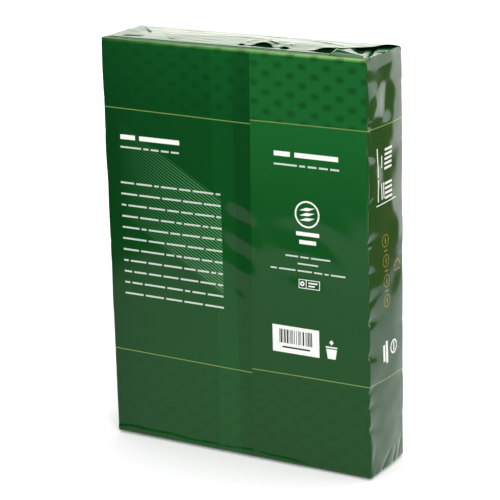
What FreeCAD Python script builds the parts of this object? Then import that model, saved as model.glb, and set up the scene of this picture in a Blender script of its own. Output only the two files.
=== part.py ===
import FreeCAD, Part
import math
import os

# A ream of A4 copier paper in its printed film wrapper, standing on one short end.
# The sealed pack is one closed solid, in millimetres. X runs along the pack's width,
# Y through its thickness and Z up its height. The lap seam of the film is on the
# front, which faces -Y. The origin is on the floor, under the middle of the pack.

# The paper inside
SHEET_WIDTH = 210.0
SHEET_LENGTH = 297.0
SHEET_COUNT = 500
SHEET_CALIPER = 0.106

# The wrapper. One ply is a layer of film with the air that stays under it.
PLY = 0.4
TOP_SLACK = 1.4
EDGE_RADIUS = 1.2
TOP_RIM_RADIUS = 1.8
BOTTOM_RIM_RADIUS = 3.0

# The slack narrow sides: a bow, slow waves up their height, and dents along the front edge
SIDE_BULGE = 1.0
WAVE_HEIGHT = 0.3
WAVE_LENGTH = 62.0
DENT_DEPTH = 0.9
DENT_WIDTH = 9.0
DENT_PITCH = 24.0
DENT_WANDER = 5.0
DENT_LEAN = 0.3
DENT_SPREAD = 0.3

# The turn, in radians, from one dent to the next in the sines that make them uneven
UNEVEN_TURN = 2.4

# The lap seam, a strip of doubled film that runs up the front a little askew
SEAM_X_BOTTOM = 11.3
SEAM_X_TOP = 15.9
LAP_WIDTH = 28.0
LAP_BITE = 1.0

# The folded ends: two tucks, then an inner flap from the front and an outer one from the back.
# The setback is from a flap's loose edge to the far side of the pack.
FLAP_SETBACK = 10.8
FLAP_RAMP = 5.0
OUTER_CROWN = 0.8
INNER_CROWN = 0.4
SWAY_HEIGHT = 0.15
SWAY_LENGTH = 85.0
FLAP_SINK = 5.0
TUCK_DROP = 1.5

# The arches in the loose edge of the top outer flap, which stand open to the front
ARCH_COUNT = 2
ARCH_FIRST_X = 19.0
ARCH_PITCH = 40.0
ARCH_HALF_WIDTH = 8.0
ARCH_LIFT = 2.0
ARCH_SCOOP = 3.5
ARCH_FADE = 16.0

# The crumpled tip of film that stands up at the top's back left corner
TIP_LENGTH = 14.0
TIP_WIDTH = 4.5
TIP_HEIGHT = 2.4

# Spacing of the points through which the wavy surfaces run
SIDE_STEP = 6.0
FLAP_STEP_X = 5.0
FLAP_STEP_Y = 4.0

# Sizes that follow from those above
HALF_WIDTH = SHEET_WIDTH / 2 + PLY
HALF_DEPTH = SHEET_COUNT * SHEET_CALIPER / 2 + PLY
FOOT = 2 * PLY
DECK = FOOT + SHEET_LENGTH + TOP_SLACK
FLAP_DEPTH = 2 * HALF_DEPTH - FLAP_SETBACK
FRONT, BACK = -1, 1
LEFT, RIGHT = -1, 1


def vector(x, y, z):
    """A point or direction in the pack's frame."""
    return FreeCAD.Vector(x, y, z)


def closed_face(points):
    """A plane face inside a ring of points."""
    return Part.Face(Part.makePolygon(points + points[:1]))


def spline_sheet(rows):
    """A smooth surface through rows of points."""
    surface = Part.BSplineSurface()
    surface.interpolate(rows)
    return surface.toShape()


def grid_values(low, high, step):
    """Evenly spaced values from low to high, about a step apart."""
    count = max(2, round((high - low) / step))
    return [low + (high - low) * i / count for i in range(count + 1)]


def cap_radius(half_width, height):
    """The radius of the circle whose cap has this half width and height."""
    return (half_width ** 2 + height ** 2) / (2 * height)


def upright_edges(shape):
    """The edges that run straight up and down."""
    return [
        edge for edge in shape.Edges
        if edge.BoundBox.ZLength > 1 and max(edge.BoundBox.XLength, edge.BoundBox.YLength) < 1e-6
    ]


def edges_at(shape, level):
    """The edges that lie in the plane at one height."""
    return [
        edge for edge in shape.Edges
        if max(abs(edge.BoundBox.ZMin - level), abs(edge.BoundBox.ZMax - level)) < 1e-6
    ]


def wrapped_block():
    """The film over the stack before its sides are shaped: a box with rounded edges and rims."""
    x = HALF_WIDTH + SIDE_BULGE + WAVE_HEIGHT
    block = Part.makeBox(2 * x, 2 * HALF_DEPTH, DECK - FOOT, vector(-x, -HALF_DEPTH, FOOT))
    block = block.makeFillet(EDGE_RADIUS, upright_edges(block))
    block = block.makeFillet(TOP_RIM_RADIUS, edges_at(block, DECK))
    return block.makeFillet(BOTTOM_RIM_RADIUS, edges_at(block, FOOT))


def uneven(i, phase):
    """A value from -1 to 1 that jumps about from one dent to the next."""
    return math.sin(UNEVEN_TURN * i + phase)


def dents(side, y, z):
    """The dents of the slack film along the front edge, as a share of the full depth."""
    inward = y + HALF_DEPTH
    total = 0.0
    for i in range(int((DECK - FOOT) / DENT_PITCH)):
        level = FOOT + DENT_PITCH * (i + 0.5) + DENT_WANDER * uneven(i, side)
        level += DENT_LEAN * inward * uneven(i, side + 1)
        share = 1 + DENT_SPREAD * uneven(i, side + 2)
        total += share * math.exp(-((z - level) / (DENT_WIDTH / 2)) ** 2)
    return total * math.exp(-(inward / DENT_WIDTH) ** 2)


def side_reach(side, y, z):
    """How far out a narrow side stands: its bow and waves, less the dents near the front."""
    across = y / HALF_DEPTH
    bow = SIDE_BULGE * (1 - across ** 2)
    wave = WAVE_HEIGHT * math.sin(2 * math.pi * z / WAVE_LENGTH + 2 * across + side)
    return HALF_WIDTH + bow + wave - DENT_DEPTH * dents(side, y, z)


def side_cutter(side):
    """All that lies outside one narrow side's slack film."""
    rows = [
        [
            vector(side * side_reach(side, y, z), y, z)
            for y in grid_values(-HALF_DEPTH - PLY, HALF_DEPTH + PLY, SIDE_STEP)
        ]
        for z in grid_values(FOOT - 2 * DENT_WIDTH, DECK + 2 * DENT_WIDTH, SIDE_STEP)
    ]
    return spline_sheet(rows).extrude(vector(side * 4 * (SIDE_BULGE + WAVE_HEIGHT), 0, 0))


def seam_x(z):
    """Where the free edge of the lap crosses a height."""
    return SEAM_X_BOTTOM + (SEAM_X_TOP - SEAM_X_BOTTOM) * (z - FOOT) / (DECK - FOOT)


def lap_section(shift, proud):
    """An upright section of the lap: it follows the front and both rims, proud of them."""
    def point(y, z):
        return vector(seam_x(z) + shift, y, z)

    def rim(radius, level, up):
        """The arc from the front over a rim, and its two ends."""
        reach = radius + proud
        slant = reach * math.sqrt(0.5)
        y = -HALF_DEPTH + radius
        z = level - up * radius
        low = point(y - reach, z)
        high = point(y, z + up * reach)
        return Part.Arc(low, point(y - slant, z + up * slant), high).toShape(), low, high

    def line(start, end):
        return Part.LineSegment(start, end).toShape()

    top_arc, top_low, top_high = rim(TOP_RIM_RADIUS, DECK, 1)
    foot_arc, foot_low, foot_high = rim(BOTTOM_RIM_RADIUS, FOOT, -1)
    root = -HALF_DEPTH + max(TOP_RIM_RADIUS, BOTTOM_RIM_RADIUS) + LAP_BITE
    root_top = point(root, DECK + proud)
    root_foot = point(root, FOOT - proud)
    return Part.Wire([
        foot_arc,
        line(foot_low, top_low),
        top_arc,
        line(top_high, root_top),
        line(root_top, root_foot),
        line(root_foot, foot_high),
    ])


def lap_strip():
    """The doubled film at the seam: a full ply at its free edge, thinning into the front."""
    return Part.makeLoft([lap_section(0, PLY), lap_section(LAP_WIDTH, -PLY / 4)], True, True)


def flap_plan(base, low, high):
    """A flap's trapezium as a prism: its ends run in at 45 degrees from the corners."""
    root = base * HALF_DEPTH
    tip = base * (HALF_DEPTH - FLAP_DEPTH)
    ring = [
        vector(-HALF_WIDTH, root, low),
        vector(HALF_WIDTH, root, low),
        vector(HALF_WIDTH - FLAP_DEPTH, tip, low),
        vector(-HALF_WIDTH + FLAP_DEPTH, tip, low),
    ]
    return closed_face(ring).extrude(vector(0, 0, high - low))


def climb(reach, level):
    """A flap's rise from just under the deck at its fold to its own level."""
    t = min((reach - TOP_RIM_RADIUS) / FLAP_RAMP, 1.0)
    return t * (2 - t) * (level + PLY / 2) - PLY / 2


def sway(x):
    """The slow wave of a flap along its fold."""
    return SWAY_HEIGHT * math.sin(2 * math.pi * x / SWAY_LENGTH)


def inner_height(x, reach):
    """The inner flap's rise above the deck, a distance in from its fold."""
    crown = INNER_CROWN * math.sin(math.pi * reach / FLAP_DEPTH)
    return climb(reach, PLY + crown + sway(x))


def arch_centres():
    """Where the arches of the loose edge stand along X."""
    return [ARCH_FIRST_X + ARCH_PITCH * i for i in range(ARCH_COUNT)]


def outer_height(x, reach):
    """The outer flap's rise above the deck, with the arches near its loose edge."""
    crown = OUTER_CROWN * math.sin(math.pi * reach / FLAP_DEPTH)
    bumps = sum(math.exp(-((x - at) / ARCH_HALF_WIDTH) ** 2) for at in arch_centres())
    near_edge = math.exp(-((FLAP_DEPTH - reach) / ARCH_FADE) ** 2)
    level = 2 * PLY + INNER_CROWN + crown + sway(x)
    return climb(reach, level) + ARCH_LIFT * bumps * near_edge


def top_flap(base, height):
    """A top flap, filled down into the deck."""
    rows = [
        [
            vector(x, base * (HALF_DEPTH - reach), DECK + height(x, reach))
            for reach in grid_values(TOP_RIM_RADIUS, FLAP_DEPTH + PLY, FLAP_STEP_Y)
        ]
        for x in grid_values(-HALF_WIDTH - PLY, HALF_WIDTH + PLY, FLAP_STEP_X)
    ]
    filled = spline_sheet(rows).extrude(vector(0, 0, -FLAP_SINK))
    return filled.common(flap_plan(base, DECK - 2 * FLAP_SINK, DECK + 2 * FLAP_SINK))


def arch_opening(at):
    """The hollow under one arch: a low dome, and a scoop out of the loose edge."""
    loose_edge = HALF_DEPTH - FLAP_DEPTH
    roof = DECK + PLY + INNER_CROWN + ARCH_LIFT
    radius = cap_radius(ARCH_HALF_WIDTH, ARCH_LIFT + INNER_CROWN)
    dome = Part.makeSphere(radius, vector(at, loose_edge, roof - radius))
    bend = cap_radius(ARCH_HALF_WIDTH - PLY, ARCH_SCOOP)
    foot = vector(at, loose_edge + ARCH_SCOOP - bend, DECK - 2 * FLAP_SINK)
    return dome.fuse(Part.makeCylinder(bend, 4 * FLAP_SINK, foot))


def tuck_pocket(side):
    """The sunk triangle at one end of the top, where the narrow side's film is tucked in."""
    rim = side * (HALF_WIDTH - TOP_RIM_RADIUS / 2)
    apex = side * (HALF_WIDTH - HALF_DEPTH)
    low = DECK - 2 * TUCK_DROP
    high = DECK + 2 * FLAP_SINK
    profile = [
        vector(rim, -HALF_DEPTH, DECK),
        vector(apex, -HALF_DEPTH, DECK - TUCK_DROP),
        vector(apex, -HALF_DEPTH, high),
        vector(rim, -HALF_DEPTH, high),
    ]
    wedge = closed_face(profile).extrude(vector(0, 2 * HALF_DEPTH, 0))
    plan = [
        vector(side * HALF_WIDTH, -HALF_DEPTH, low),
        vector(side * HALF_WIDTH, HALF_DEPTH, low),
        vector(apex, 0, low),
    ]
    return wedge.common(closed_face(plan).extrude(vector(0, 0, high - low)))


def corner_tip():
    """The crumpled tip of film at the top's back left corner, a thin three-sided peak."""
    x = -HALF_WIDTH + EDGE_RADIUS
    y = HALF_DEPTH - TOP_RIM_RADIUS
    z = DECK - PLY
    ring = [
        vector(x, y, z),
        vector(x + TIP_LENGTH, y, z),
        vector(x + TIP_LENGTH / 3, y - TIP_WIDTH, z),
    ]
    peak = vector(x + TIP_LENGTH / 4, y - PLY, DECK + TIP_HEIGHT)
    sides = [closed_face([ring[i - 1], ring[i], peak]) for i in range(len(ring))]
    return Part.Solid(Part.Shell([closed_face(ring)] + sides))


def pressed_flap(base, level):
    """A bottom flap, flat under the pack's weight, which ramps down from its fold."""
    root = FOOT + PLY
    profile = [
        (BOTTOM_RIM_RADIUS, FOOT),
        (BOTTOM_RIM_RADIUS + FLAP_RAMP, level),
        (FLAP_DEPTH, level),
        (FLAP_DEPTH, root),
        (BOTTOM_RIM_RADIUS, root),
    ]
    ring = [vector(-HALF_WIDTH, base * (HALF_DEPTH - reach), z) for reach, z in profile]
    slab = closed_face(ring).extrude(vector(2 * HALF_WIDTH, 0, 0))
    return slab.common(flap_plan(base, -PLY, root + PLY))


def wrapped_ream():
    """The sealed pack as one solid."""
    outer = top_flap(BACK, outer_height)
    for at in arch_centres():
        outer = outer.cut(arch_opening(at))
    pack = wrapped_block()
    for side in (LEFT, RIGHT):
        pack = pack.cut(side_cutter(side))
        pack = pack.cut(tuck_pocket(side))
    for piece in (
        lap_strip(),
        top_flap(FRONT, inner_height),
        outer,
        corner_tip(),
        pressed_flap(FRONT, PLY),
        pressed_flap(BACK, 0.0),
    ):
        pack = pack.fuse(piece)
    return pack


def main():
    """Writes the one node."""
    os.makedirs("parts", exist_ok=True)
    pack = wrapped_ream()
    print("solids", len(pack.Solids), "valid", pack.isValid(), "litres", round(pack.Volume / 1e6, 4))
    pack.exportStep("parts/wrapped_ream.step")


main()
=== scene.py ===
"""The looks of a ream of A4 copier paper in its printed, laminated film wrapper.

The pack stands on one short end. Sizes are in millimetres in the CAD model's frame: X along
the width, Y through the thickness with the lap seam's face towards -Y, and Z up. Meshes are
turned to metres as they are made.
"""

import logging
import math
from dataclasses import dataclass, field
from enum import Enum

import bmesh
import bpy
import numpy as np
from mathutils import Matrix, Vector


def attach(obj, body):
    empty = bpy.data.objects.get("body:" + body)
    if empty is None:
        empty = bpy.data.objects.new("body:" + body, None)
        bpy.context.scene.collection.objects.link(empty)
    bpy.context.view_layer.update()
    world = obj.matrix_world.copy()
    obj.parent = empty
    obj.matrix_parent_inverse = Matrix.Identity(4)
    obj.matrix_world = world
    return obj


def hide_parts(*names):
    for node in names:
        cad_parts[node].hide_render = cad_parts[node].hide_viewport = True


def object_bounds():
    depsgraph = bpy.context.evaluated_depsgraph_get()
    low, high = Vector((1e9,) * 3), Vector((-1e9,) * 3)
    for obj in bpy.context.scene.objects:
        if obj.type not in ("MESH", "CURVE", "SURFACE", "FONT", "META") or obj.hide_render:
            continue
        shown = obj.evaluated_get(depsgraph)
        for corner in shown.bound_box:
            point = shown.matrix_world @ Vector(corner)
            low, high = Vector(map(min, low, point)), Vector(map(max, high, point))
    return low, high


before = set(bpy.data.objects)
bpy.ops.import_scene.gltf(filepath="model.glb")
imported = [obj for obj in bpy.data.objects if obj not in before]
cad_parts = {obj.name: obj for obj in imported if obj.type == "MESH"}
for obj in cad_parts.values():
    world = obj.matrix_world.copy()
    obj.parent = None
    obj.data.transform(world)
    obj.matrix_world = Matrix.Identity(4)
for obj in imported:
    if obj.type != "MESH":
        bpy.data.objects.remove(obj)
CAD_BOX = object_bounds()

log = logging.getLogger("ream")
MM = 0.001
NODE = "wrapped_ream"


@dataclass(frozen=True)
class PackSize:
    """The pack's driving sizes, the same as the solid's."""

    half_width: float = 105.4
    half_depth: float = 26.9
    foot: float = 0.8
    deck: float = 299.2
    edge_radius: float = 1.2
    top_rim: float = 1.8
    foot_rim: float = 3.0
    ply: float = 0.4
    lap_width: float = 28.0
    seam_foot: float = 11.3
    seam_top: float = 15.9
    flap_setback: float = 10.8

    @property
    def flap_depth(self) -> float:
        """How far a flap reaches from its fold."""
        return 2 * self.half_depth - self.flap_setback

    def seam_x(self, z: np.ndarray) -> np.ndarray:
        """Where the lap's free edge crosses the heights z: a straight line, a little askew."""
        return self.seam_foot + (self.seam_top - self.seam_foot) * (z - self.foot) / (self.deck - self.foot)


PACK = PackSize()


class Panel(Enum):
    """The faces that carry small print."""

    SEAM_FACE = "seam_face"
    RIGHT_SIDE = "right_side"


class Reading(Enum):
    """Which way a line of print runs."""

    ACROSS = "across"
    DOWN = "down"


def smooth(t: np.ndarray) -> np.ndarray:
    """An even rise from 0 to 1 with level ends: 3t^2 - 2t^3 with t held between 0 and 1.

    Args:
        t: The parameter.

    Returns:
        The risen values.
    """
    t = np.clip(t, 0.0, 1.0)
    return t * t * (3 - 2 * t)


def bell(value: np.ndarray, centre: float, width: float, power: float = 2) -> np.ndarray:
    """A bump from 0 to 1 round a centre: exp(-((value - centre) / width) ^ power).

    Args:
        value: The coordinate.
        centre: Where the bump is 1.
        width: How far out it has fallen to 0.37.
        power: 2 for a soft bell, more for a flatter top with steeper sides.

    Returns:
        The bump's height at each place.
    """
    return np.exp(-(((value - centre) / width) ** power))


def ripples(u: np.ndarray, v: np.ndarray, length: float, seed: int, waves: int = 9) -> np.ndarray:
    """Soft random relief from -1 to 1: the mean of plane sine waves whose directions, phases
    and lengths (within a third of the one asked for) come from a seeded generator.

    Args:
        u: First coordinate, in millimetres.
        v: Second coordinate, in millimetres.
        length: Typical wave length, in millimetres.
        seed: The generator's seed.
        waves: How many sine waves are summed.

    Returns:
        The relief at each place.
    """
    draw = np.random.default_rng(seed)
    total = np.zeros(np.broadcast(u, v).shape)
    for _ in range(waves):
        angle, phase = draw.uniform(0, 2 * math.pi, 2)
        turn = 2 * math.pi / (length * draw.uniform(0.67, 1.5))
        total += np.sin(turn * (u * math.cos(angle) + v * math.sin(angle)) + phase)
    return total / math.sqrt(2 * waves)


def ridge(
    u: np.ndarray,
    v: np.ndarray,
    start: tuple[float, float],
    end: tuple[float, float],
    width: float,
    sharp: bool = True,
) -> np.ndarray:
    """A crease line's height from 0 to 1: it falls off with the distance from the line between
    two points, as exp(-distance/width) where sharp and as a bell where not, and with the
    square of a sine along the line, so that it dies out at both ends.

    Args:
        u: First coordinate.
        v: Second coordinate.
        start: Where the crease begins.
        end: Where it ends.
        width: How far it spreads to each side.
        sharp: Whether its crest is a sharp fold.

    Returns:
        The height at each place.
    """
    run = np.array(end) - np.array(start)
    length = float(np.hypot(*run))
    along = ((u - start[0]) * run[0] + (v - start[1]) * run[1]) / length ** 2
    away = np.abs((u - start[0]) * run[1] - (v - start[1]) * run[0]) / length
    profile = np.exp(-away / width) if sharp else np.exp(-((away / width) ** 2))
    inside = np.clip(along, 0.0, 1.0)
    return profile * np.sin(math.pi * inside) ** 0.7


@dataclass(frozen=True)
class FilmRelief:
    """How far the slack film stands out from the flat faces of the stack, in millimetres."""

    size: PackSize = PACK
    # Creases under the top rim: place along the width and drop
    top_creases: tuple = (
        (-93, 4), (-71, 5), (-52, 7), (-37, 4), (-22, 6), (-9, 5),
        (-3, 3), (28, 6), (41, 8), (49, 3), (63, 4), (84, 5),
    )
    # Ridges that run down from the top rim: height, start, end and width
    top_ridges: tuple = (
        (0.50, (-104.9, 299.0), (-92.5, 284.5), 0.8),
        (0.22, (16.5, 298.5), (25.0, 288.0), 0.8),
        (0.30, (-49.0, 298.0), (-41.0, 284.0), 1.1),
        (0.30, (-36.0, 299.0), (-27.0, 279.0), 1.1),
        (0.22, (-78.0, 299.0), (-62.0, 280.0), 1.1),
    )
    # Heights at which the film is caught at a side's front edge
    edge_pinches: tuple = (297, 254, 234, 199, 172, 151, 130, 116, 92, 65, 54, 38)
    # Valleys that fan out from a side's foot: depth, start, end and width
    foot_fan: tuple = (
        (1.0, (-14.0, -2.0), (4.5, 15.0), 1.3),
        (0.9, (3.5, -3.0), (13.5, 14.0), 1.5),
        (0.7, (13.0, 0.0), (25.0, 19.0), 1.7),
        (0.6, (-25.0, 2.0), (-20.5, 24.0), 2.0),
    )
    # Hollows in the front flap under the loose edge's arches: place, half width and depth
    flap_hollows: tuple = ((19.0, 7.5, 2.4), (67.5, 6.8, 2.4), (36.0, 3.2, 1.1), (3.0, 2.8, 0.9))

    def lap(self, x: np.ndarray, z: np.ndarray) -> np.ndarray:
        """The second ply of the lap: full at its free edge, thinning evenly over its width.

        Args:
            x: Places along the width.
            z: Heights.

        Returns:
            How far the ply lifts the film.
        """
        share = 1 - (x - self.size.seam_x(z)) / self.size.lap_width
        return self.size.ply * np.clip(share, 0.0, 1.0)

    def front(self, x: np.ndarray, z: np.ndarray) -> np.ndarray:
        """The seam face: soft ripples, a slow swell across its middle, lobes on both sides of
        the seam, a raised band beside it, ridges and short creases under the top rim, and a
        rolled crease over the foot.

        Args:
            x: Places along the width.
            z: Heights.

        Returns:
            How far the film stands out.
        """
        size = self.size
        relief = 0.12 * ripples(0.7 * x, z, 105.0, 3) + 0.022 * ripples(0.6 * x, z, 38.0, 5) - 0.26
        seam = size.seam_x(z)
        places = (-105.0, -60.0, -20.0, 10.0, 40.0)
        level = z - np.interp(x, places, (132.0, 146.0, 176.0, 184.0, 170.0))
        tilt = np.interp(x, places, (0.008, 0.014, 0.024, 0.022, 0.0))
        relief += tilt * level * bell(level, 0.0, 22.0)
        beside = bell(x - seam, -9.0, 10.0) * bell(z, 162.0, 42.0)
        relief += beside * (0.55 * np.sin(2 * math.pi * (z - 11.0 + 0.5 * x) / 25.0) - 0.35)
        relief += 0.16 * bell(x - seam, -21.0, 8.5) * smooth((size.deck - z) / 6.0)
        panel = bell(x, 60.0, 24.0) * bell(z, 152.0, 48.0)
        relief += 0.32 * panel * np.sin(2 * math.pi * (z + 0.45 * x) / 29.0 + 1.3 * np.sin(x / 15.0))
        for height, start, end, width in self.top_ridges:
            relief += height * ridge(x, z, start, end, width)
        below_top = size.deck - z
        for at, drop in self.top_creases:
            lean = at + 0.35 * below_top * math.sin(at)
            relief -= 0.16 * np.exp(-np.abs(x - lean) / 0.8) * bell(below_top, 0.0, drop)
        relief += 0.12 * bell(below_top, 0.0, 5.5) * ripples(x, 2.5 * z, 9.0, 11)
        fold = 6.4 + 0.8 * np.sin(x / 17.0) - 2.4 * smooth((x + 10.0) / 70.0) + 0.4 * np.sin(x / 5.3)
        strength = 1 - smooth((x - 35.0) / 40.0)
        rolled = 1 - smooth((z - fold + 1.0) / 1.9)
        dent = np.exp(-np.maximum(z - fold - 0.9, 0.0) / 2.2) * (1 - rolled)
        relief += strength * (0.62 * rolled - 0.3 * dent)
        return np.minimum(relief, 0.28 - np.where(x >= seam, self.lap(x, z), 0.0))

    def narrow(self, side: int, y: np.ndarray, z: np.ndarray) -> np.ndarray:
        """A narrow side: a bow across, a shoulder that leans in to the top, an oval swelling
        under it, slow waves up, ripples, pinches where the film is caught at the front edge
        and at the back edge, and a fan of creases at the foot.

        Args:
            side: 1 for the right side, -1 for the left.
            y: Places across the thickness.
            z: Heights.

        Returns:
            How far the film stands out.
        """
        size = self.size
        across = y / size.half_depth
        relief = 0.9 - np.where(across > 0, 1.2 * np.abs(across) ** 2.5, 0.9 * across ** 2) + 0 * z
        relief -= 1.2 * smooth((z - 284.0) / 21.0) * smooth((y - 7.0) / 12.0)
        relief -= 0.9 * smooth((z - 290.5) / 11.0) * smooth((y + 20.0) / 10.0)
        oval = 0.75 * bell(y, -22.0, 9.0) - 1.1 * bell(y, -1.0, 8.5)
        relief += bell(z, 266.5, 12.5, 4) * oval
        relief += 0.85 * bell(y, -21.0, 12.0) * bell(z, 215.0, 21.0, 4)
        relief += 0.26 * np.sin(2 * math.pi * z / 62.0 + 2 * across + side) * (1 - 0.6 * across ** 4)
        relief += 0.20 * ripples(1.3 * y, z, 48.0, 21 + side) + 0.05 * ripples(y, z, 15.0, 27 + side)
        from_front = y + size.half_depth
        for i, at in enumerate(self.edge_pinches):
            level = at + 3.0 * (side < 0) * math.sin(2.4 * i) + 0.34 * from_front * math.sin(2.1 * i + side)
            spread = 1.4 + 0.36 * from_front
            depth = (1.6 + 0.5 * math.sin(1.7 * i + side)) * (1.0 if side > 0 else 0.25)
            relief -= depth * np.exp(-np.abs(z - level) / spread) * bell(from_front, 0.0, 13.0, 1.5)
        from_back = size.half_depth - y
        for i in range(7):
            level = 26.0 + 41.0 * i + 9.0 * math.sin(2.4 * i + side)
            spread = 1.6 + 0.3 * from_back
            relief -= 0.45 * np.exp(-np.abs(z - level) / spread) * bell(from_back, 0.0, 9.0, 1.5)
        for depth, start, end, width in self.foot_fan:
            relief -= depth * ridge(y, z, start, end, width)
        relief += 0.5 * bell(y, -23.5, 2.6) * (1 - smooth((z - 16.0) / 22.0))
        return np.minimum(relief, 1.22) if side > 0 else 0.7 * np.minimum(relief, 1.22)

    def back(self, x: np.ndarray, z: np.ndarray) -> np.ndarray:
        """The plain face: two sizes of soft ripples, and weak creases under the top rim.

        Args:
            x: Places along the width.
            z: Heights.

        Returns:
            How far the film stands out.
        """
        below_top = self.size.deck - z
        relief = 0.13 * ripples(x, 0.7 * z, 90.0, 33) + 0.02 * ripples(x, z, 30.0, 35)
        relief += 0.06 * bell(below_top, 0.0, 7.0) * ripples(x, 2.0 * z, 17.0, 37)
        return relief - 0.24

    def front_flap(self, x: np.ndarray, reach: np.ndarray) -> np.ndarray:
        """The front flap's height over the deck: a narrow dip behind the rim, then a climb to
        a low crown, with long faint wrinkles, hollows under the loose edge's arches, and a
        buckle whose crest runs from the front right corner to the last arch.

        Args:
            x: Places along the width.
            reach: How far in from the fold.

        Returns:
            The height over the deck.
        """
        size = self.size
        dip = -0.55 * bell(reach, 3.2, 0.9)
        for at, width, depth in self.flap_hollows:
            dip -= depth * bell(x, at, width, 4) * bell(reach, 15.0, 5.0, 4)
        crest_reach = np.interp(x, (76.0, 104.0), (10.5, 3.0))
        crest = 2.7 * smooth((x - 73.5) / 3.5) * np.clip((104.0 - x) / 26.0, 0.0, 1.0)
        climb = np.clip(reach / crest_reach, 0.0, 1.0) - smooth((reach - crest_reach) / 9.0)
        crown = size.ply + 0.45 * np.sin(math.pi * np.clip(reach / size.flap_depth, 0, 1))
        wrinkles = 0.06 * smooth((reach - 2.0) / 4.0) * ripples(0.4 * x, 2.4 * reach, 14.0, 51)
        return dip + crest * climb + (crown + wrinkles) * smooth((reach - 2.5) / 4.0)

    def place(self, panel: Panel, u: np.ndarray, v: np.ndarray, lift: float) -> np.ndarray:
        """Carries places on a panel onto the film there, and lifts them off it.

        Args:
            panel: The panel: u runs to its right and v is the height.
            u: Places across the panel.
            v: Heights.
            lift: How far they stand off the film.

        Returns:
            The points, as the shape of u by 3.
        """
        size = self.size
        if panel is Panel.SEAM_FACE:
            lap = np.where(u >= size.seam_x(v), self.lap(u, v), 0.0)
            return np.stack([u, -size.half_depth - self.front(u, v) - lap - lift, v], axis=-1)
        return np.stack([size.half_width + self.narrow(1, u, v) + lift, u, v], axis=-1)


RELIEF = FilmRelief()


def grid_quads(rows: int, columns: int, wrap: bool = False) -> np.ndarray:
    """The quads of a grid of points that is stored row by row.

    Args:
        rows: Points from the first row to the last.
        columns: Points along a row.
        wrap: Whether the last column joins the first.

    Returns:
        Four point numbers a quad. They run from one column to the next, then one row on.
    """
    across = np.arange(columns if wrap else columns - 1)
    up = np.arange(rows - 1)[:, None]
    left = up * columns + across
    right = up * columns + (across + 1) % columns
    return np.stack([left, right, right + columns, left + columns], axis=-1).reshape(-1, 4)


def new_object(
    name: str, points: np.ndarray, quads: np.ndarray, sharp_angle: float = 38.0
) -> bpy.types.Object:
    """Puts points and quads into a mesh object at the origin.

    Args:
        name: The piece's name.
        points: One row of x, y, z in millimetres a point.
        quads: Four point numbers a face.
        sharp_angle: Edges that turn by more than this many degrees are shaded as folds.

    Returns:
        The object, linked to the scene.
    """
    mesh = bpy.data.meshes.new(name)
    mesh.vertices.add(len(points))
    mesh.vertices.foreach_set("co", (points * MM).astype(np.float32).ravel())
    mesh.loops.add(quads.size)
    mesh.loops.foreach_set("vertex_index", quads.astype(np.int32).ravel())
    mesh.polygons.add(len(quads))
    mesh.polygons.foreach_set("loop_start", np.arange(0, quads.size, 4, dtype=np.int32))
    mesh.update(calc_edges=True)
    weld = bmesh.new()
    weld.from_mesh(mesh)
    bmesh.ops.remove_doubles(weld, verts=weld.verts, dist=1e-7)
    weld.to_mesh(mesh)
    weld.free()
    mesh.validate()
    mesh.polygons.foreach_set("use_smooth", np.ones(len(mesh.polygons), dtype=bool))
    mesh.set_sharp_from_angle(angle=math.radians(sharp_angle))
    piece = bpy.data.objects.new(name, mesh)
    bpy.context.scene.collection.objects.link(piece)
    return piece


def closed_sheet(top: np.ndarray, bottom: np.ndarray) -> tuple[np.ndarray, np.ndarray]:
    """A sheet with an upper face, a lower face and a rim.

    Args:
        top: The upper face's points, as rows by columns by 3, with columns to the right and
            rows upwards as seen from outside.
        bottom: The lower face's points, in the same order.

    Returns:
        The points and quads of the closed shell.
    """
    rows, columns = top.shape[:2]
    count = rows * columns
    face = grid_quads(rows, columns)
    index = np.arange(count).reshape(rows, columns)
    ring = np.concatenate([index[0], index[1:, -1], index[-1, -2::-1], index[-2:0:-1, 0]])
    after = np.roll(ring, -1)
    rim = np.stack([ring, ring + count, after + count, after], axis=-1)
    points = np.concatenate([top.reshape(-1, 3), bottom.reshape(-1, 3)])
    return points, np.concatenate([face, face[:, ::-1] + count, rim])


def joined(shells: list[tuple[np.ndarray, np.ndarray]]) -> tuple[np.ndarray, np.ndarray]:
    """Several shells as one set of points and quads.

    Args:
        shells: Each shell's points and quads.

    Returns:
        All points, and the quads with their point numbers moved on.
    """
    starts = np.cumsum([0] + [len(points) for points, _ in shells[:-1]])
    quads = [faces + start for (_, faces), start in zip(shells, starts)]
    return np.concatenate([points for points, _ in shells]), np.concatenate(quads)


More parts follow.
